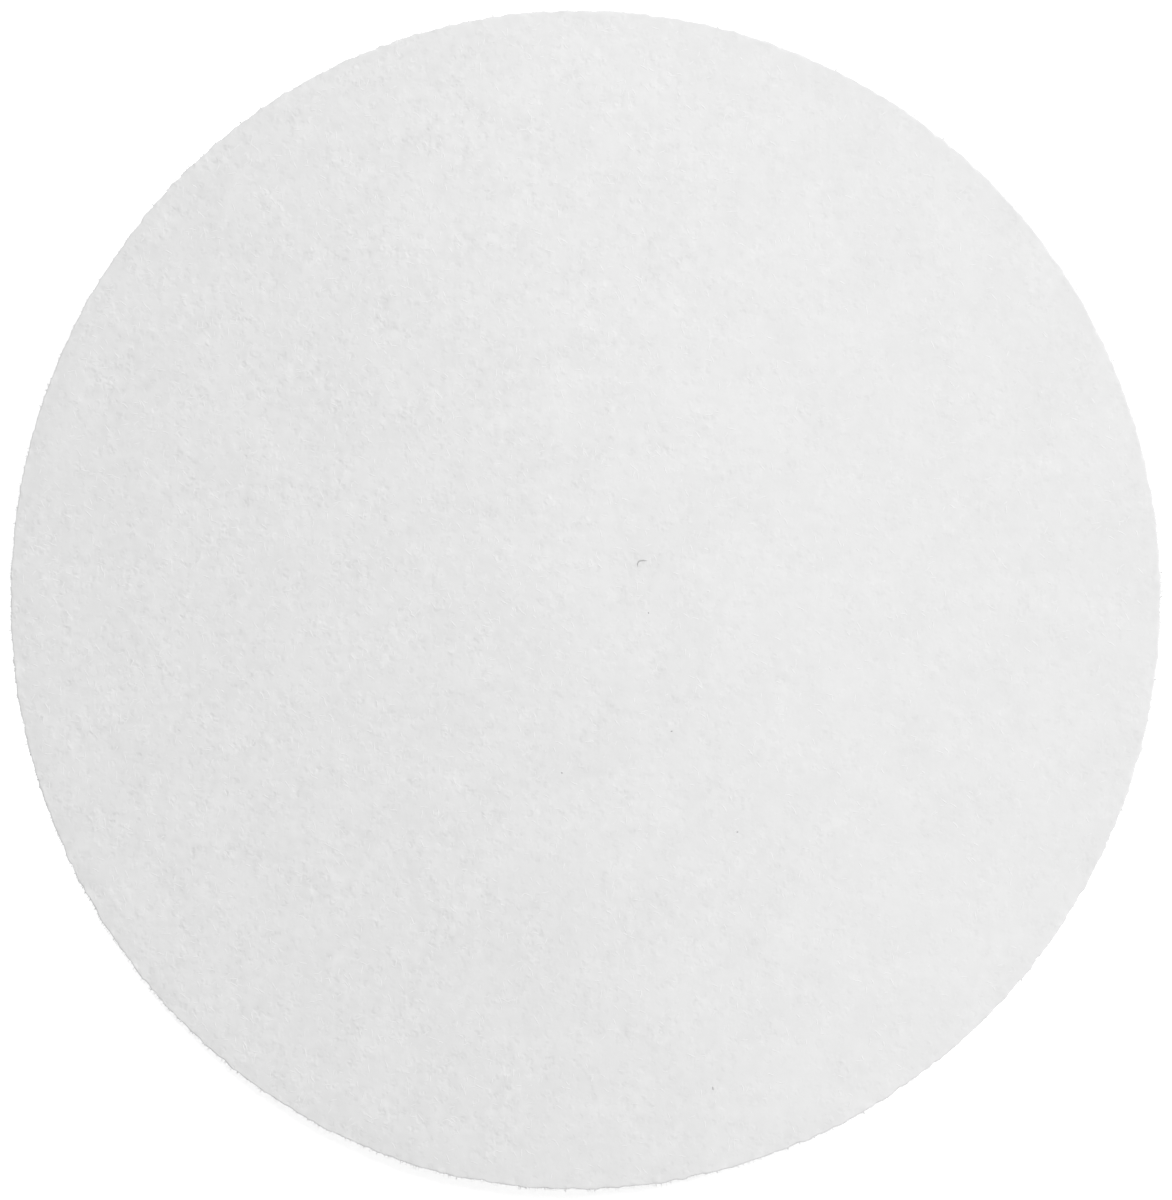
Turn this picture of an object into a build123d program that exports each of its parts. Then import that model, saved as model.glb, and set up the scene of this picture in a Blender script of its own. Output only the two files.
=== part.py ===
from build123d import *
import os

# Driving dimensions, in millimetres.
DISC_DIAMETER = 90.0        # across the punched rim
PAPER_THICKNESS = 0.20      # one felted sheet, uncompressed
ROLL_DROP = 0.07            # how far the upper edge is rolled down where the punch went in
ROLL_WIDTH = 0.14           # how far in from the rim that roll starts


def disc_section():
    """Half of the disc's section, from its axis to the rim, standing in the XZ plane.

    The underside is flat right to a sharp cut edge. The cut wall is upright, and above it
    a quarter of an ellipse rolls in to the flat upper face.
    """
    rim = DISC_DIAMETER / 2
    wall_top = PAPER_THICKNESS - ROLL_DROP
    roll_start = rim - ROLL_WIDTH
    with BuildSketch(Plane.XZ) as section:
        with BuildLine():
            Polyline((0, PAPER_THICKNESS), (0, 0), (rim, 0), (rim, wall_top))
            EllipticalCenterArc((roll_start, wall_top), ROLL_WIDTH, ROLL_DROP, arc_size=90)
            Line((roll_start, PAPER_THICKNESS), (0, PAPER_THICKNESS))
        make_face()
    return section.sketch


def filter_disc():
    """One round sheet of filter paper, lying flat: underside on Z = 0, its centre at the origin."""
    disc = revolve(disc_section(), axis=Axis.Z)
    disc.label = "filter_disc"
    return disc


os.makedirs("parts", exist_ok=True)
export_step(filter_disc(), "parts/filter_disc.step")
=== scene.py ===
import math

import bpy
import numpy as np
from mathutils import Matrix, Vector


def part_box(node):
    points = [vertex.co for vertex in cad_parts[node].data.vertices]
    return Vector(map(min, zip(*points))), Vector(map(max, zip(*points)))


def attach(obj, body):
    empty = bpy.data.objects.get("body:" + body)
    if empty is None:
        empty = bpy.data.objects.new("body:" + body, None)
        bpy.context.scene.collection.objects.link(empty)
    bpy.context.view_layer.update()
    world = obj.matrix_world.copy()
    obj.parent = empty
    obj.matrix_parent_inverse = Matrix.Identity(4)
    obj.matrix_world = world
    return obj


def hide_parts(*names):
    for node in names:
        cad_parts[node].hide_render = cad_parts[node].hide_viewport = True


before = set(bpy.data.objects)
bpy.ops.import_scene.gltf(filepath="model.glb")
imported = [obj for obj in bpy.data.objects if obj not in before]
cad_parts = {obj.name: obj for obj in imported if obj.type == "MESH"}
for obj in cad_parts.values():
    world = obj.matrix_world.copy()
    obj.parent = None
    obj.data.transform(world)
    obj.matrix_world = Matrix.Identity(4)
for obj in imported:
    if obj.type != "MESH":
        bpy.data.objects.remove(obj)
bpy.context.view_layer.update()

# Lengths are in metres, angles in radians. MM turns millimetres into metres.
MM = 0.001
SEED = 7

# The sheet, from the frame.
disc_low, disc_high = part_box("filter_disc")
RADIUS = (disc_high[0] - disc_low[0]) / 2
THICKNESS = disc_high[2] - disc_low[2]

# The punched rim: what the punch did to the edge of the sheet.
ROLL_WIDTH = 0.12 * MM          # the upper edge rolls over this far in from the rim
ROLL_DROP = 0.06 * MM           # and this far down
ROLL_ANGLES = (0, 22, 45, 68, 90)    # degrees round the roll at which it has points
BURR_WIDTH = 0.02 * MM          # the small bevel of the lower edge
RIM_BAND = 1.0 * MM             # width of the finer band of mesh along the rim
RIM_LINES = (0.75, 0.5, 0.3)    # its lines of mesh on the upper face, as shares of its width
UNDER_LINE = 0.25               # and its line on the underside
WALL_LINE = 0.3                 # the line of mesh on the cut wall, as a share of the thickness
FACE_RINGS = 108                # rings of triangles on each face, inside that band
SHARP_ANGLE = math.radians(50)  # edges that turn by more than this are shaded sharp

# The slow curl of the sheet: it arches over a soft ridge and rests on two ends of its rim.
CURL_BEARING = math.radians(14.9)    # the direction across the ridge
CURL_SLOPE = math.radians(5.84)      # how steep the sheet is, well away from the ridge
RIDGE_OFFSET = -2.8 * MM             # where the ridge crosses that direction
RIDGE_WIDTH = 17.0 * MM              # how slowly the slope turns over
SECTION_STEPS = 2001                 # points along the section across the ridge
SECTION_REACH = 1.1 * RADIUS         # how far they go to each side of the middle

# The relief of the sheet. A size is that of one soft bump, and a depth is the whole span from low to high.
COCKLE_SIZE = 7 * MM
COCKLE_DEPTH = 0.05 * MM
FELT_SIZE = 1.3 * MM
FELT_DEPTH = 0.02 * MM
UPPER_SEED_STEP = 10.0               # the upper face's felt differs from the underside's
RIM_WANDER_SIZE = 0.75 * MM
RIM_WANDER = 0.48 * MM               # in and out
RIM_FRAY_SIZE = 0.7 * MM
RIM_FRAY = 0.20 * MM                 # up and down
FRAYED_BAND = 0.5 * MM               # the rim is uneven as far in as this
PRESS_BEARING = math.radians(212)    # the side where the punch pressed the rim down most
PRESS_DEPTH = 0.04 * MM
PRESS_BAND = 1.6 * MM                # how far in from the rim it did
PRESS_FADE = (-0.3, 0.8)             # cosine of the turn from that side: none at the first, all at the second

# One side of the sheet is rougher, and it gets smoother from the first of these places along X to the second.
ROUGH_SIDE_ENDS = (-0.5 * RADIUS, 0.6 * RADIUS)
SMOOTH_SIDE_RELIEF = 0.55            # the smoother side's share of the relief
SMOOTH_SIDE_FIBRES = 0.35            # and its share of the loose fibres

# Loose fibres on the faces. A density is the number on a square metre of the rougher side.
UPPER_DENSITY = 0.85e6
UNDERSIDE_DENSITY = 0.4e6
FACE_FIBRE = {"Length": 0.58 * MM, "Half width": 0.045 * MM, "Flatness": 0.28, "Curl": 0.30 * MM}
FACE_FIBRE_REACH = RADIUS - 0.9 * MM
FACE_FIBRE_JOINTS = 6

# Ends of cut fibre on the rim. Their density is the number on a square metre of the cut wall.
RIM_FIBRE = {"Density": 30e6, "Length": 0.24 * MM, "Half width": 0.020 * MM, "Curl": 0.20 * MM}
RIM_FIBRE_JOINTS = 4
ROOT_SHARE = 0.3                     # how deep each end is rooted in the rim, as a share of its length

# All fibres: how the loose ones vary in length, seed and wobble, and how every fibre tapers.
FIBRE_SIZES = (0.45, 1.3)
FIBRE_SEEDS = (0.0, 900.0)
WOBBLE_SIZE = 0.5 * MM
TAPER_SHARE = 0.25                   # each end tapers over this share of the length
TIP_SHARE = 0.35                     # down to this share of the width
TUBE_SIDES = 4

# Stray dark fibres on the upper face, as points in millimetres: a short hair with a hooked end, and specks.
STRAYS = (
    ((4.96, 2.45), (4.95, 2.74), (5.08, 2.91), (5.38, 2.95), (5.69, 2.91)),
    ((10.80, -37.15), (10.86, -37.42)),
    ((7.53, -10.10), (7.68, -10.07)),
    ((-0.97, -13.20), (-0.83, -13.27)),
    ((5.78, -0.98), (5.84, -1.12)),
    ((12.62, -17.80), (12.76, -17.74)),
)
STRAY_HALF_WIDTH = 0.053 * MM
STRAY_FLATNESS = 0.6
STRAY_JOINTS = 24

# Camera: almost straight above, with a long lens.
CAMERA_TILT = math.radians(11.67)        # from straight above
CAMERA_BEARING = math.radians(-6.2)      # the side that it leans to
CAMERA_DISTANCE = 1.527
VIEW_LONG_SIDE = 91.55 * MM              # what the view's long side spans at the sheet
AIM_RIGHT = 0.943 * MM                   # the middle of the view, from the middle of the sheet
AIM_UP = -0.05 * MM
SENSOR = 36.0                            # millimetres, along the long side
CLIP_START = 0.01

# Light: a soft lamp from the upper right, a weaker and nearer one from the top of the view, and an even
# sky. Each share is the light that it gives to level ground, and together they make a level of 1.
LAMP_BEARING = math.radians(30)
LAMP_FROM_ZENITH = math.radians(40)
LAMP_WIDTH = math.radians(24)
LAMP_SHARE = 0.59
FILL_BEARING = math.radians(90)
FILL_FROM_ZENITH = math.radians(45)
FILL_DISTANCE = 0.55
FILL_SIZE = 0.25
FILL_SHARE = 0.08
SKY_SHARE = 0.33
FLOOR_HALF_SIDE = 1.5
FLOOR_TONE = 0.9
FLOOR_LIFT = 0.71                        # white added to the ground's own shade: it is seen, and lights nothing


# ---------------------------------------------------------------- node helpers

def add(tree, kind, inputs=None, **settings):
    """A new node. inputs maps a socket's name or number to a value or to the socket that feeds it."""
    made = tree.nodes.new(kind)
    for name, value in settings.items():
        setattr(made, name, value)
    for key, value in (inputs or {}).items():
        if isinstance(value, bpy.types.NodeSocket):
            tree.links.new(value, made.inputs[key])
        else:
            made.inputs[key].default_value = value
    return made


def calc(tree, operation, *values):
    """The result of a Math node."""
    return add(tree, "ShaderNodeMath", dict(enumerate(values)), operation=operation).outputs[0]


def vector_calc(tree, operation, *values):
    """The result of a Vector Math node: a length for LENGTH, and otherwise a vector."""
    made = add(tree, "ShaderNodeVectorMath", dict(enumerate(values)), operation=operation)
    return made.outputs["Value" if operation == "LENGTH" else "Vector"]


def scaled(tree, vector, factor):
    """The vector times a number."""
    return add(tree, "ShaderNodeVectorMath", {0: vector, "Scale": factor}, operation="SCALE").outputs[0]


def split(tree, vector):
    """The x, y and z of a vector."""
    return add(tree, "ShaderNodeSeparateXYZ", {0: vector}).outputs


def joined(tree, x=0.0, y=0.0, z=0.0):
    """The vector with that x, y and z."""
    return add(tree, "ShaderNodeCombineXYZ", {0: x, 1: y, 2: z}).outputs[0]


def ramp(tree, value, low, high, at_low=0.0, at_high=1.0):
    """value from low to high, turned smoothly into at_low to at_high."""
    inputs = {"Value": value, "From Min": low, "From Max": high, "To Min": at_low, "To Max": at_high}
    made = add(tree, "ShaderNodeMapRange", inputs, interpolation_type="SMOOTHSTEP", clamp=True)
    return made.outputs["Result"]


# Spans in which most of the values of a noise lie, for the ends of a ramp: a narrow and a wide one.
NOISE_CORE = (0.35, 0.65)
NOISE_WIDE = (0.3, 0.7)


def noise(tree, place, size, seed, detail=2.0, colour=False):
    """Soft random values whose grains are about size across, around 0.5."""
    inputs = {"Vector": place, "W": seed, "Scale": 1 / size, "Detail": detail}
    made = add(tree, "ShaderNodeTexNoise", inputs, noise_dimensions="4D")
    return made.outputs[1 if colour else 0]


def rough_side(tree, place, smooth_share):
    """1 on the rougher side of the sheet, falling to smooth_share towards +X, where it is smoother."""
    return ramp(tree, split(tree, place)[0], *ROUGH_SIDE_ENDS, 1.0, smooth_share)


# ------------------------------------------------------------------- materials

# The felt of the paper: soft grains of two sizes, and layers of short strokes, each with the size of its
# cells, its width and how far it rises or sinks. Its tone follows this relief as painted shade: darker where it
# sinks, lighter where it rises.
GRAIN_SIZE = 0.30 * MM
GRAIN_DEPTH = 2e-6
CLUMP_SIZE = 0.75 * MM
CLUMP_DEPTH = 30e-6
STROKE_LAYERS = (
    (0.70 * MM, 0.24 * MM, -7.5e-6),
    (0.55 * MM, 0.20 * MM, -6e-6),
    (0.60 * MM, 0.20 * MM, 6.5e-6),
)
LAYER_SHIFT = (0.37, 0.61)           # how far each layer's pattern is moved from the one before it
# painted shade: the felt is painted darker in its hollows and lighter where it rises, for the light that falls
# on it
PAINTED_SHADE_PER_METRE = 2500              # tone lost for each metre of depth
CELL_RANDOMNESS = 0.9
STROKE_BOW = 14.0                    # how strongly the strokes may bow, from one way to the other
STROKE_END_FADE = (0.25, 0.5)        # where a stroke starts to fade and ends, in cells from its middle
STROKE_CHANCE = (0.3, 1.0)           # random numbers in this span
STROKE_STRENGTH = (0.1, 1.3)         # give the weakest to the strongest stroke

# Patches where the felt is weaker or stronger, and clouds of tone and roughness.
PATCH_SIZE = 2.0 * MM
PATCH_STRENGTH = (0.5, 1.4)
CLOUD_SIZE = 3.2 * MM
PAPER_TONE = (0.793, 0.815)
PAPER_ROUGHNESS = (0.9, 1.0)
PAPER_SPECULAR = 0.2

# Loose and stray fibre.
LOOSE_TONE = 0.825
DARK_TONE = 0.50
FIBRE_TONE_SPREAD = 0.02             # lighter and darker than its tone by this much
FIBRE_CLOUD_SIZE = 0.4 * MM
FIBRE_ROUGHNESS = 0.8
FIBRE_SPECULAR = 0.3


def new_material(name):
    """An empty material with a Principled shader, and the object's coordinates in it."""
    material = bpy.data.materials.new(name)
    material.use_nodes = True
    tree = material.node_tree
    tree.nodes.clear()
    shader = add(tree, "ShaderNodeBsdfPrincipled")
    add(tree, "ShaderNodeOutputMaterial", {"Surface": shader.outputs[0]})
    place = add(tree, "ShaderNodeTexCoord").outputs["Object"]
    return material, tree, shader, place


def grey(tree, tone):
    """The neutral colour of that tone."""
    return add(tree, "ShaderNodeCombineColor", {0: tone, 1: tone, 2: tone}).outputs[0]


def felt_strokes():
    """A node group: one layer of short curled strokes, one in each cell of a random pattern."""
    tree = bpy.data.node_groups.new("felt strokes", "ShaderNodeTree")
    for name, kind in (("Vector", "NodeSocketVector"), ("Shift", "NodeSocketVector"),
                       ("Cell", "NodeSocketFloat"), ("Width", "NodeSocketFloat")):
        tree.interface.new_socket(name, in_out="INPUT", socket_type=kind)
    tree.interface.new_socket("Height", in_out="OUTPUT", socket_type="NodeSocketFloat")
    given = add(tree, "NodeGroupInput").outputs
    place = vector_calc(tree, "ADD", given["Vector"], given["Shift"])
    scale = calc(tree, "DIVIDE", 1.0, given["Cell"])
    cells = add(tree, "ShaderNodeTexVoronoi",
                {"Vector": place, "Scale": scale, "Randomness": CELL_RANDOMNESS}, voronoi_dimensions="2D")
    chance = add(tree, "ShaderNodeSeparateColor", {0: cells.outputs["Color"]}).outputs
    from_middle = vector_calc(tree, "SUBTRACT", place, cells.outputs["Position"])
    angle = calc(tree, "MULTIPLY", chance[0], 2 * math.pi)
    turned = add(tree, "ShaderNodeVectorRotate", {"Vector": from_middle, "Angle": angle},
                 rotation_type="Z_AXIS").outputs[0]
    local = split(tree, turned)
    along = calc(tree, "DIVIDE", local[0], given["Cell"])
    across = calc(tree, "DIVIDE", local[1], given["Width"])
    bow = calc(tree, "MULTIPLY", calc(tree, "SUBTRACT", chance[1], 0.5), STROKE_BOW)
    bowed = calc(tree, "ADD", across, calc(tree, "MULTIPLY", bow, calc(tree, "MULTIPLY", along, along)))
    body = ramp(tree, calc(tree, "ABSOLUTE", bowed), 0.0, 1.0, 1.0, 0.0)
    ends = ramp(tree, calc(tree, "ABSOLUTE", along), *STROKE_END_FADE, 1.0, 0.0)
    strength = ramp(tree, chance[2], *STROKE_CHANCE, *STROKE_STRENGTH)
    height = calc(tree, "MULTIPLY", calc(tree, "MULTIPLY", body, ends), strength)
    add(tree, "NodeGroupOutput", {"Height": height})
    return tree


def paper_material():
    """White filter paper: matte felted fibre, a little uneven in tone, with fine relief and shade painted into
    its hollows.
    """
    material, tree, shader, place = new_material("felted_paper")
    strokes = felt_strokes()
    grain = calc(tree, "SUBTRACT", noise(tree, place, GRAIN_SIZE, seed=1.0, detail=1.0), 0.5)
    clump = calc(tree, "SUBTRACT", noise(tree, place, CLUMP_SIZE, seed=2.0, detail=0.0), 0.5)
    height = calc(tree, "MULTIPLY_ADD", grain, GRAIN_DEPTH, calc(tree, "MULTIPLY", clump, CLUMP_DEPTH))
    for number, (cell, width, rise) in enumerate(STROKE_LAYERS):
        layer = tree.nodes.new("ShaderNodeGroup")
        layer.node_tree = strokes
        tree.links.new(place, layer.inputs["Vector"])
        layer.inputs["Shift"].default_value = (number * LAYER_SHIFT[0], number * LAYER_SHIFT[1], 0.0)
        layer.inputs["Cell"].default_value = cell
        layer.inputs["Width"].default_value = width
        height = calc(tree, "MULTIPLY_ADD", layer.outputs[0], rise, height)
    patches = ramp(tree, noise(tree, place, PATCH_SIZE, seed=4.0), *NOISE_CORE, *PATCH_STRENGTH)
    strength = calc(tree, "MULTIPLY", rough_side(tree, place, SMOOTH_SIDE_RELIEF), patches)
    relief = calc(tree, "MULTIPLY", height, strength)
    bump = add(tree, "ShaderNodeBump", {"Strength": 1.0, "Distance": 1.0, "Height": relief})
    cloud = noise(tree, place, CLOUD_SIZE, seed=3.0)
    # painted shade and light: the tone follows the relief, darker where it sinks and lighter where it rises,
    # over the paper's own clouds of tone
    tone = calc(tree, "MULTIPLY_ADD", relief, PAINTED_SHADE_PER_METRE, ramp(tree, cloud, *NOISE_WIDE, *PAPER_TONE))
    tree.links.new(grey(tree, tone), shader.inputs["Base Color"])
    tree.links.new(ramp(tree, cloud, *NOISE_WIDE, *PAPER_ROUGHNESS), shader.inputs["Roughness"])
    tree.links.new(bump.outputs[0], shader.inputs["Normal"])
    shader.inputs["Specular IOR Level"].default_value = PAPER_SPECULAR
    return material


def fibre_material(name, tone):
    """Loose cellulose fibre lying on the sheet: much as the sheet, without its relief."""
    material, tree, shader, place = new_material(name)
    mixed = ramp(tree, noise(tree, place, FIBRE_CLOUD_SIZE, seed=5.0), *NOISE_CORE,
                 tone - FIBRE_TONE_SPREAD, tone + FIBRE_TONE_SPREAD)
    tree.links.new(grey(tree, mixed), shader.inputs["Base Color"])
    shader.inputs["Roughness"].default_value = FIBRE_ROUGHNESS
    shader.inputs["Specular IOR Level"].default_value = FIBRE_SPECULAR
    return material


def seen_directly(tree):
    """1 for what the camera sees, straight, reflected or through something clear, and 0 for light."""
    path = add(tree, "ShaderNodeLightPath").outputs
    clear = calc(tree, "MAXIMUM", path["Is Glossy Ray"], path["Is Transmission Ray"])
    return calc(tree, "MAXIMUM", path["Is Camera Ray"], clear)


def floor_material():
    """A matte white ground. It keeps the sheet's shadow, and the camera sees it lifted to white."""
    material, tree, shader, _ = new_material("white_ground")
    shader.inputs["Base Color"].default_value = (FLOOR_TONE, FLOOR_TONE, FLOOR_TONE, 1)
    shader.inputs["Roughness"].default_value = 1.0
    shader.inputs["Specular IOR Level"].default_value = 0.0
    shader.inputs["Emission Color"].default_value = (1, 1, 1, 1)
    lift_to_white = calc(tree, "MULTIPLY", seen_directly(tree), FLOOR_LIFT)
    tree.links.new(lift_to_white, shader.inputs["Emission Strength"])
    return material


# ------------------------------------------------------------------- the stage

def unit(bearing, from_zenith):
    """The direction at that bearing, counted from +X towards +Y, and that angle from straight up."""
    flat = math.sin(from_zenith)
    return Vector((flat * math.cos(bearing), flat * math.sin(bearing), math.cos(from_zenith)))


def make_camera(middle):
    """The camera, with +Y up the view, looking close to the middle of the sheet."""
    back = unit(CAMERA_BEARING, CAMERA_TILT)
    right = Vector((0, 1, 0)).cross(back).normalized()
    up = back.cross(right)
    data = bpy.data.cameras.new("camera")
    data.sensor_width = SENSOR
    data.lens = SENSOR * CAMERA_DISTANCE / VIEW_LONG_SIDE
    data.clip_start = CLIP_START
    camera = bpy.data.objects.new("camera", data)
    turn = Matrix((right, up, back)).transposed().to_4x4()
    place = middle + right * AIM_RIGHT + up * AIM_UP + back * CAMERA_DISTANCE
    camera.matrix_world = Matrix.Translation(place) @ turn
    bpy.context.collection.objects.link(camera)
    bpy.context.scene.camera = camera


def make_lamps():
    """The far soft lamp and the near fill lamp, both aimed at the sheet."""
    far = bpy.data.lights.new("soft_lamp", "SUN")
    far.energy = LAMP_SHARE * math.pi / math.cos(LAMP_FROM_ZENITH)
    far.angle = LAMP_WIDTH
    near = bpy.data.lights.new("fill_lamp", "AREA")
    near.size = FILL_SIZE
    near.energy = FILL_SHARE * (math.pi * FILL_DISTANCE) ** 2 / math.cos(FILL_FROM_ZENITH)
    for data, towards, distance in ((far, unit(LAMP_BEARING, LAMP_FROM_ZENITH), 1.0),
                                    (near, unit(FILL_BEARING, FILL_FROM_ZENITH), FILL_DISTANCE)):
        lamp = bpy.data.objects.new(data.name, data)
        turn = towards.to_track_quat("Z", "Y").to_matrix().to_4x4()
        lamp.matrix_world = Matrix.Translation(towards * distance) @ turn
        bpy.context.collection.objects.link(lamp)


def make_sky():
    """An even sky that lights the sheet, and that the camera sees as white."""
    world = bpy.data.worlds.new("even_sky")
    world.use_nodes = True
    tree = world.node_tree
    tree.nodes.clear()
    strength = ramp(tree, seen_directly(tree), 0.0, 1.0, SKY_SHARE, 1.0)
    light = add(tree, "ShaderNodeBackground", {"Color": (1, 1, 1, 1), "Strength": strength})
    add(tree, "ShaderNodeOutputWorld", {"Surface": light.outputs[0]})
    bpy.context.scene.world = world


def make_floor():
    """The ground that the sheet lies on."""
    half = FLOOR_HALF_SIDE
    corners = [(-half, -half, 0), (half, -half, 0), (half, half, 0), (-half, half, 0)]
    floor = new_object("ground", corners, [(0, 1, 2, 3)])
    floor.data.materials.append(floor_material())


# ------------------------------------------------------------------- the sheet

def new_object(name, points, faces, edges=()):
    """An object at the origin with that mesh."""
    mesh = bpy.data.meshes.new(name)
    mesh.from_pydata(points, edges, faces)
    made = bpy.data.objects.new(name, mesh)
    bpy.context.collection.objects.link(made)
    return made


def new_lines(name, lines):
    """An object of loose edges along those lines, whose points are in millimetres."""
    points = [(x * MM, y * MM, 0) for line in lines for x, y in line]
    ends = {sum(map(len, lines[:n + 1])) - 1 for n in range(len(lines))}
    return new_object(name, points, [], [(i, i + 1) for i in range(len(points)) if i not in ends])


class Rings:
    """A mesh made of rings round the Z axis."""

    def __init__(self):
        self.points = []
        self.faces = []

    def ring(self, radius, height, count):
        """A ring of points: where it starts in the list, and how many it has."""
        first = len(self.points)
        turns = (2 * math.pi * i / count for i in range(count))
        self.points += [(radius * math.cos(a), radius * math.sin(a), height) for a in turns]
        return first, count

    def face(self, corners, down):
        """A face that looks up, or down. Its corners are given anticlockwise as seen from above."""
        self.faces.append(tuple(reversed(corners)) if down else tuple(corners))

    def disc(self, radius, height, rings, down=False):
        """A flat face of even triangles: ring number k has 6 k points. Returns the outermost ring."""
        inner, _ = self.ring(0, height, 1)
        for k in range(1, rings + 1):
            outer, count = self.ring(radius * k / rings, height, 6 * k)
            inner_count = max(1, count - 6)
            for side in range(6):
                for j in range(k):
                    a = outer + side * k + j
                    b = outer + (side * k + j + 1) % count
                    c = inner + (side * (k - 1) + j) % inner_count
                    self.face((c, a, b), down)
                    if j < k - 1:
                        d = inner + (side * (k - 1) + j + 1) % inner_count
                        self.face((c, b, d), down)
            inner = outer
        return inner, count

    def double(self, coarse, fine, down=False):
        """Join a ring to one round it that has twice its points."""
        (a0, count), (f0, fine_count) = coarse, fine
        for j in range(count):
            a, b = a0 + j, a0 + (j + 1) % count
            f, g, h = f0 + 2 * j, f0 + 2 * j + 1, f0 + (2 * j + 2) % fine_count
            for corners in ((a, f, g), (a, g, b), (b, g, h)):
                self.face(corners, down)

    def join(self, first, second):
        """Join two rings with as many points, the second being nearer to the underside along the section."""
        (p, count), (q, _) = first, second
        for j in range(count):
            k = (j + 1) % count
            self.faces.append((p + j, q + j, q + k, p + k))


def rim_section():
    """The section of the rim, from the upper face to the underside: inset from the rim, and height."""
    upper = [(share * RIM_BAND, THICKNESS) for share in RIM_LINES]
    roll = [math.radians(a) for a in ROLL_ANGLES]
    rolled = [(ROLL_WIDTH * (1 - math.sin(a)), THICKNESS - ROLL_DROP * (1 - math.cos(a))) for a in roll]
    wall = [(0.0, WALL_LINE * THICKNESS), (0.0, BURR_WIDTH)]
    lower = [(BURR_WIDTH, 0.0), (UNDER_LINE * RIM_BAND, 0.0)]
    return upper + rolled + wall + lower


def paper_blank():
    """The flat punched sheet as one closed mesh."""
    mesh = Rings()
    inside = RADIUS - RIM_BAND
    top = mesh.disc(inside, THICKNESS, FACE_RINGS)
    under = mesh.disc(inside, 0.0, FACE_RINGS, down=True)
    rim_count = 2 * top[1]      # the rim has twice the points of the faces' outermost rings
    rim = [mesh.ring(RADIUS - inset, height, rim_count) for inset, height in rim_section()]
    mesh.double(top, rim[0])
    for outer, inner in zip(rim, rim[1:]):
        mesh.join(outer, inner)
    mesh.double(under, rim[-1], down=True)
    return new_object("filter_paper_sheet", mesh.points, mesh.faces)


# --------------------------------------------------------- Geometry Nodes trees

# The upright part of a face's normal: above the first the face is the flat of the sheet, and below the second
# it is the cut wall of the rim.
FLAT_OF_SHEET = 0.9
CUT_WALL = 0.6

# A fibre is laid by a ray that starts this far from the sheet's middle plane and is this long.
PROBE_HEIGHT = 5 * MM
PROBE_LENGTH = 20 * MM


def new_tree(name, sockets):
    """A Geometry Nodes tree with those named inputs, after the geometry that comes in."""
    tree = bpy.data.node_groups.new(name, "GeometryNodeTree")
    tree.interface.new_socket("Geometry", in_out="INPUT", socket_type="NodeSocketGeometry")
    tree.interface.new_socket("Geometry", in_out="OUTPUT", socket_type="NodeSocketGeometry")
    for label, kind in sockets:
        tree.interface.new_socket(label, in_out="INPUT", socket_type=f"NodeSocket{kind}")
    return tree, add(tree, "NodeGroupInput").outputs


def finish_tree(tree, geometry, material):
    """End a tree as every tree here ends: instances made real, then the material."""
    real = add(tree, "GeometryNodeRealizeInstances", {0: geometry}).outputs[0]
    painted = add(tree, "GeometryNodeSetMaterial", {"Geometry": real, "Material": material})
    add(tree, "NodeGroupOutput", {"Geometry": painted.outputs[0]})


def run_tree(piece, tree, values):
    """Put the piece through the tree with those inputs, and keep the result as its plain mesh."""
    modifier = piece.modifiers.new(tree.name, "NODES")
    modifier.node_group = tree
    sockets = {s.name: s.identifier for s in tree.interface.items_tree if s.in_out == "INPUT"}
    for label, value in values.items():
        modifier[sockets[label]] = value
    piece.update_tag()
    evaluated = piece.evaluated_get(bpy.context.evaluated_depsgraph_get())
    mesh = bpy.data.meshes.new_from_object(evaluated)
    piece.modifiers.clear()
    piece.data = mesh
    mesh.name = piece.name
    return piece


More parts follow.
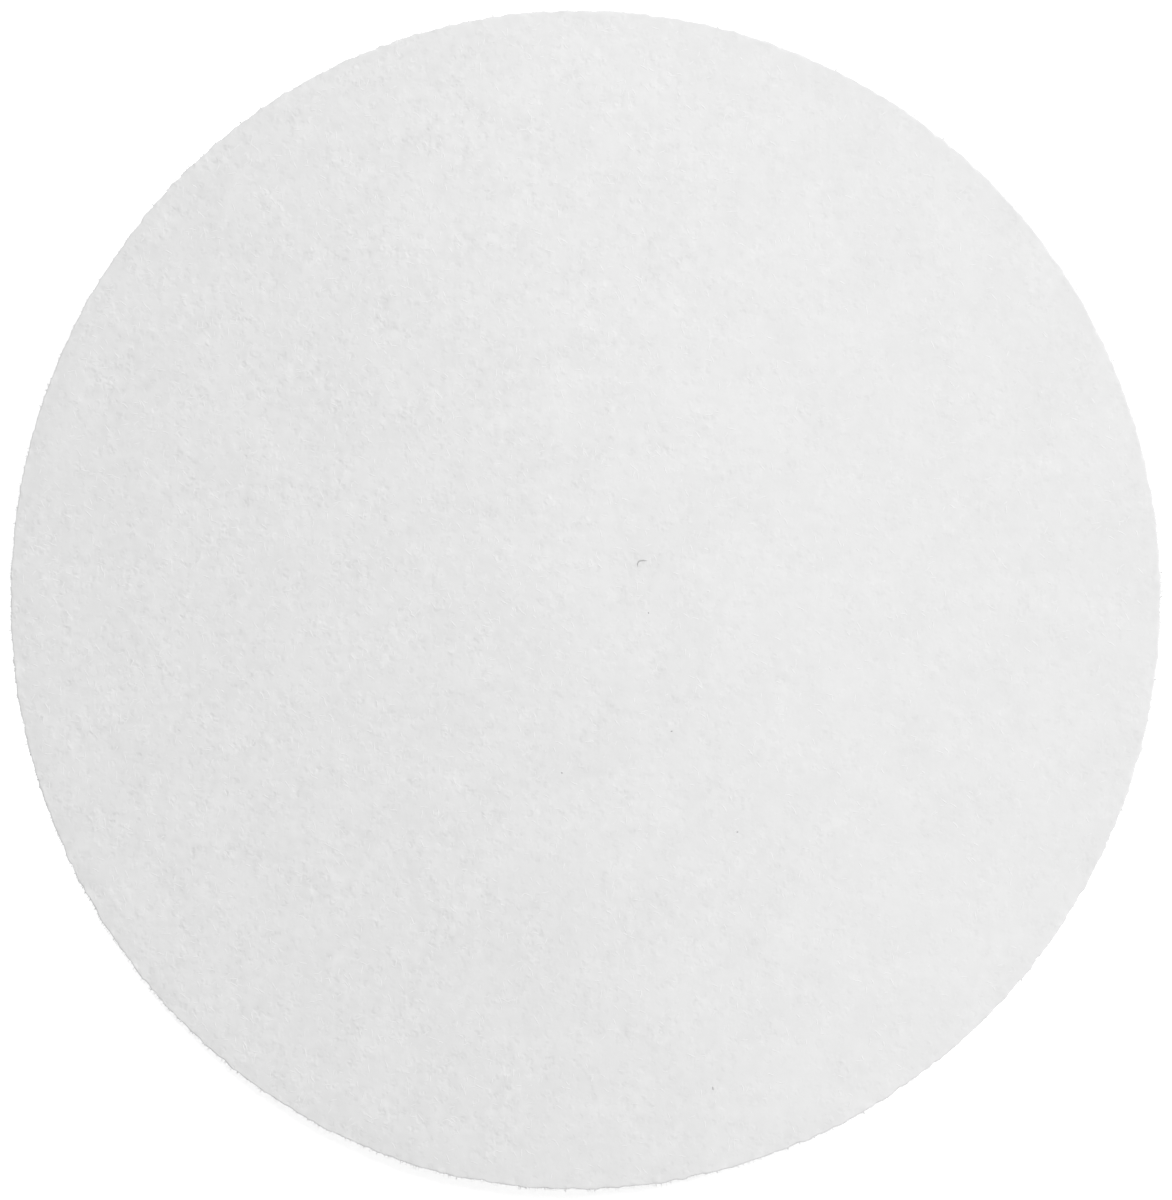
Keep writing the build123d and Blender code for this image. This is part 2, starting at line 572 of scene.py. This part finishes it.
def relief_tree():
    """What wetting, drying and punching did to the sheet: slow cockle, felted relief and an uneven rim."""
    tree, given = new_tree("paper relief", (
        ("Radius", "Float"), ("Thickness", "Float"), ("Cockle depth", "Float"), ("Felt depth", "Float"),
        ("Rim wander", "Float"), ("Rim fray", "Float"), ("Press depth", "Float"),
        ("Press bearing", "Float"), ("Seed", "Float"), ("Material", "Material")))
    x, y, z = split(tree, add(tree, "GeometryNodeInputPosition").outputs[0])
    plan = joined(tree, x, y)
    radius = vector_calc(tree, "LENGTH", plan)
    outward = vector_calc(tree, "NORMALIZE", plan)
    inset = calc(tree, "SUBTRACT", given["Radius"], radius)

    def shaken(size, seed, depth, detail=2.0):
        """Random values within about half of depth of zero."""
        value = calc(tree, "SUBTRACT", noise(tree, plan, size, seed, detail), 0.5)
        return calc(tree, "MULTIPLY", value, depth)

    upper = calc(tree, "GREATER_THAN", z, calc(tree, "MULTIPLY", given["Thickness"], 0.5))
    side_seed = calc(tree, "ADD", given["Seed"], calc(tree, "MULTIPLY", upper, UPPER_SEED_STEP))
    cockle = shaken(COCKLE_SIZE, given["Seed"], given["Cockle depth"], detail=1.0)
    felt = shaken(FELT_SIZE, side_seed, given["Felt depth"])
    turn_from_press = calc(tree, "SUBTRACT", calc(tree, "ARCTAN2", y, x), given["Press bearing"])
    pressed_side = ramp(tree, calc(tree, "COSINE", turn_from_press), *PRESS_FADE)
    pressed = calc(tree, "MULTIPLY", pressed_side, ramp(tree, inset, 0.0, PRESS_BAND, 1.0, 0.0))
    near_rim = ramp(tree, inset, 0.0, FRAYED_BAND, 1.0, 0.0)
    wander = calc(tree, "MULTIPLY",
                  shaken(RIM_WANDER_SIZE, given["Seed"], given["Rim wander"], detail=3.0), near_rim)
    fray = calc(tree, "MULTIPLY", shaken(RIM_FRAY_SIZE, given["Seed"], given["Rim fray"]), near_rim)
    rise = calc(tree, "ADD", calc(tree, "ADD", cockle, felt), fray)
    rise = calc(tree, "SUBTRACT", rise, calc(tree, "MULTIPLY", pressed, given["Press depth"]))
    offset = vector_calc(tree, "ADD", joined(tree, z=rise), scaled(tree, outward, wander))
    moved = add(tree, "GeometryNodeSetPosition", {"Geometry": given["Geometry"], "Offset": offset})
    finish_tree(tree, moved.outputs[0], given["Material"])
    return tree


def mesh_of(tree, piece):
    """The mesh of the object that comes in."""
    return add(tree, "GeometryNodeObjectInfo", {"Object": piece}).outputs["Geometry"]


def random_float(tree, low, high, seed):
    """A random number for each element. The sockets are those of the Float kind: Min, Max and Seed."""
    return add(tree, "FunctionNodeRandomValue", {2: low, 3: high, 8: seed}).outputs[1]


def grow(tree, given, points, rotation, start, end, joints):
    """Curves from start to end at the points, each turned, made longer or shorter, and curled."""
    line = add(tree, "GeometryNodeCurvePrimitiveLine", {"Start": start, "End": end}).outputs[0]
    jointed = add(tree, "GeometryNodeResampleCurve", {"Curve": line, "Count": joints}).outputs[0]
    size = random_float(tree, *FIBRE_SIZES, seed=3)
    placed = add(tree, "GeometryNodeInstanceOnPoints",
                 {"Points": points, "Instance": jointed, "Rotation": rotation, "Scale": size}).outputs[0]
    own = add(tree, "GeometryNodeStoreNamedAttribute",
              {"Geometry": placed, "Name": "own", "Value": random_float(tree, *FIBRE_SEEDS, seed=4)},
              data_type="FLOAT", domain="INSTANCE").outputs[0]
    real = add(tree, "GeometryNodeRealizeInstances", {0: own}).outputs[0]
    fibre_seed = add(tree, "GeometryNodeInputNamedAttribute", {"Name": "own"}, data_type="FLOAT").outputs[0]
    place = add(tree, "GeometryNodeInputPosition").outputs[0]
    wobble = noise(tree, place, WOBBLE_SIZE, fibre_seed, detail=1.0, colour=True)
    push = scaled(tree, vector_calc(tree, "SUBTRACT", wobble, (0.5, 0.5, 0.5)), given["Curl"])
    return add(tree, "GeometryNodeSetPosition", {"Geometry": real, "Offset": push}).outputs[0]


def lay(tree, sheet, side, curves):
    """The curves put down on the upper face (side 1) or the underside (side -1) of the sheet."""
    here = split(tree, add(tree, "GeometryNodeInputPosition").outputs[0])
    off_sheet = joined(tree, here[0], here[1], calc(tree, "MULTIPLY", side, PROBE_HEIGHT))
    towards_sheet = joined(tree, z=calc(tree, "MULTIPLY", side, -1.0))
    probe = add(tree, "GeometryNodeRaycast", {"Target Geometry": sheet, "Source Position": off_sheet,
                                              "Ray Direction": towards_sheet, "Ray Length": PROBE_LENGTH})
    laid = {"Geometry": curves, "Position": probe.outputs["Hit Position"]}
    return add(tree, "GeometryNodeSetPosition", laid).outputs[0]


def skin(tree, curves, half_width, flatness):
    """Flattened tubes along the curves, thinner towards both ends and with their facets left sharp."""
    factor = add(tree, "GeometryNodeSplineParameter").outputs["Factor"]
    from_end = calc(tree, "MINIMUM", factor, calc(tree, "SUBTRACT", 1.0, factor))
    radius = calc(tree, "MULTIPLY", half_width, ramp(tree, from_end, 0.0, TAPER_SHARE, TIP_SHARE, 1.0))
    upright = add(tree, "GeometryNodeSetCurveNormal", {"Curve": curves}, mode="Z_UP").outputs[0]
    round_section = {"Resolution": TUBE_SIDES, "Radius": 1.0}
    circle = add(tree, "GeometryNodeCurvePrimitiveCircle", round_section).outputs[0]
    squash = joined(tree, 1.0, flatness, 1.0)
    flat = add(tree, "GeometryNodeTransform", {"Geometry": circle, "Scale": squash}).outputs[0]
    tube = add(tree, "GeometryNodeCurveToMesh",
               {"Curve": upright, "Profile Curve": flat, "Scale": radius, "Fill Caps": True}).outputs[0]
    return add(tree, "GeometryNodeSetShadeSmooth", {"Geometry": tube, "Shade Smooth": False}).outputs[0]


def face_fibre_tree():
    """Loose curled fibres, scattered over one face of the sheet and half sunk in it."""
    tree, given = new_tree("face fibres", (
        ("Sheet", "Object"), ("Side", "Float"), ("Density", "Float"), ("Reach", "Float"),
        ("Length", "Float"), ("Half width", "Float"), ("Flatness", "Float"), ("Curl", "Float"),
        ("Seed", "Int"), ("Material", "Material")))
    sheet = mesh_of(tree, given["Sheet"])
    place = add(tree, "GeometryNodeInputPosition").outputs[0]
    normal = add(tree, "GeometryNodeInputNormal").outputs[0]
    facing = calc(tree, "MULTIPLY", split(tree, normal)[2], given["Side"])
    inside = calc(tree, "LESS_THAN", vector_calc(tree, "LENGTH", place), given["Reach"])
    chosen = calc(tree, "MULTIPLY", inside, calc(tree, "GREATER_THAN", facing, FLAT_OF_SHEET))
    density = calc(tree, "MULTIPLY", given["Density"], rough_side(tree, place, SMOOTH_SIDE_FIBRES))
    points = add(tree, "GeometryNodeDistributePointsOnFaces",
                 {"Mesh": sheet, "Selection": chosen, "Density": density, "Seed": given["Seed"]}).outputs[0]
    turn = joined(tree, z=random_float(tree, 0.0, 2 * math.pi, seed=1))
    half = calc(tree, "MULTIPLY", given["Length"], 0.5)
    start = joined(tree, calc(tree, "MULTIPLY", half, -1.0))
    end = joined(tree, half)
    fibres = grow(tree, given, points, turn, start, end, FACE_FIBRE_JOINTS)
    laid = lay(tree, sheet, given["Side"], fibres)
    finish_tree(tree, skin(tree, laid, given["Half width"], given["Flatness"]), given["Material"])
    return tree


def stray_tree():
    """Stray fibres laid on the upper face, along the lines that come in."""
    tree, given = new_tree("stray fibres", (
        ("Sheet", "Object"), ("Half width", "Float"), ("Flatness", "Float"), ("Material", "Material")))
    line = add(tree, "GeometryNodeMeshToCurve", {"Mesh": given["Geometry"]}).outputs[0]
    jointed = add(tree, "GeometryNodeResampleCurve", {"Curve": line, "Count": STRAY_JOINTS}).outputs[0]
    laid = lay(tree, mesh_of(tree, given["Sheet"]), 1.0, jointed)
    finish_tree(tree, skin(tree, laid, given["Half width"], given["Flatness"]), given["Material"])
    return tree


def rim_fibre_tree():
    """Short ends of cut fibre that stand out of the punched rim."""
    tree, given = new_tree("rim fibres", (
        ("Sheet", "Object"), ("Density", "Float"), ("Length", "Float"), ("Half width", "Float"),
        ("Curl", "Float"), ("Seed", "Int"), ("Material", "Material")))
    normal = add(tree, "GeometryNodeInputNormal").outputs[0]
    wall = calc(tree, "LESS_THAN", calc(tree, "ABSOLUTE", split(tree, normal)[2]), CUT_WALL)
    points = add(tree, "GeometryNodeDistributePointsOnFaces",
                 {"Mesh": mesh_of(tree, given["Sheet"]), "Selection": wall, "Density": given["Density"],
                  "Seed": given["Seed"]}).outputs
    root = joined(tree, z=calc(tree, "MULTIPLY", given["Length"], -ROOT_SHARE))
    tip = joined(tree, z=given["Length"])
    fibres = grow(tree, given, points["Points"], points["Rotation"], root, tip, RIM_FIBRE_JOINTS)
    finish_tree(tree, skin(tree, fibres, given["Half width"], 1.0), given["Material"])
    return tree


# ------------------------------------------------------------------------ curl

def bent_section():
    """The section across the ridge: places along the flat sheet, and what the bent sheet has there.

    That is its slope, its run and its rise, both from the middle. The last value is the rise at the lower end
    of the rim.
    """
    level = -RIDGE_OFFSET * CURL_SLOPE / RADIUS       # keeps both ends of the rim on the ground
    steps = np.linspace(-SECTION_REACH, SECTION_REACH, SECTION_STEPS)
    slope = level - CURL_SLOPE * np.tanh((steps - RIDGE_OFFSET) / RIDGE_WIDTH)

    def summed(rate):
        """The integral of rate along the steps, zero at the middle of the sheet."""
        total = np.concatenate([[0], np.cumsum((rate[1:] + rate[:-1]) / 2 * np.diff(steps))])
        return total - np.interp(0, steps, total)

    run, rise = summed(np.cos(slope)), summed(np.sin(slope))
    rim_rise = min(np.interp(end, steps, rise) for end in (-RADIUS, RADIUS))
    return steps, slope, run, rise, rim_rise


def curl(piece, section):
    """Bend a piece that was made flat as the whole sheet is bent, with the ends of its rim on the ground."""
    steps, slope, run, rise, rim_rise = section
    co = np.empty(len(piece.data.vertices) * 3)
    piece.data.vertices.foreach_get("co", co)
    x, y, z = co.reshape(-1, 3).T
    c, s = math.cos(CURL_BEARING), math.sin(CURL_BEARING)
    across, along = x * c + y * s, y * c - x * s
    here = np.interp(across, steps, slope)
    across_now = np.interp(across, steps, run) - z * np.sin(here)
    height = np.interp(across, steps, rise) - rim_rise + z * np.cos(here)
    moved = np.stack([across_now * c - along * s, across_now * s + along * c, height], axis=1)
    piece.data.vertices.foreach_set("co", moved.ravel())
    piece.data.update()


def lowest_point(piece):
    """The height of the piece's lowest point."""
    return min(v.co.z for v in piece.data.vertices)


def lift(piece, height):
    """Lift a piece, and press flat onto the ground what would still go through it."""
    for vertex in piece.data.vertices:
        vertex.co.z = max(vertex.co.z + height, 0)
    piece.data.update()


# -------------------------------------------------------------------- building

paper = paper_material()
loose = fibre_material("loose_fibre", LOOSE_TONE)
dark = fibre_material("dark_fibre", DARK_TONE)

sheet = run_tree(paper_blank(), relief_tree(), {
    "Radius": RADIUS, "Thickness": THICKNESS, "Cockle depth": COCKLE_DEPTH, "Felt depth": FELT_DEPTH,
    "Rim wander": RIM_WANDER, "Rim fray": RIM_FRAY, "Press depth": PRESS_DEPTH,
    "Press bearing": PRESS_BEARING, "Seed": float(SEED), "Material": paper})
sheet.data.set_sharp_from_angle(angle=SHARP_ANGLE)

face_tree = face_fibre_tree()
pieces = [sheet]
for name, side, density in (("upper_face_fibres", 1.0, UPPER_DENSITY),
                            ("underside_fibres", -1.0, UNDERSIDE_DENSITY)):
    pieces.append(run_tree(new_object(name, [], []), face_tree, {
        **FACE_FIBRE, "Sheet": sheet, "Side": side, "Density": density, "Reach": FACE_FIBRE_REACH,
        "Seed": SEED, "Material": loose}))
pieces.append(run_tree(new_object("rim_fibres", [], []), rim_fibre_tree(), {
    **RIM_FIBRE, "Sheet": sheet, "Seed": SEED, "Material": loose}))
pieces.append(run_tree(new_lines("stray_fibres", STRAYS), stray_tree(), {
    "Sheet": sheet, "Half width": STRAY_HALF_WIDTH, "Flatness": STRAY_FLATNESS, "Material": dark}))

section = bent_section()
for piece in pieces:
    curl(piece, section)
middle_height = -section[-1]
clearance = -lowest_point(sheet)
for piece in pieces:
    lift(piece, clearance)
    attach(piece, "root")
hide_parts("filter_disc")

make_floor()
make_lamps()
make_sky()
make_camera(Vector((0, 0, middle_height + clearance + THICKNESS)))
bpy.context.scene.view_settings.view_transform = "Standard"
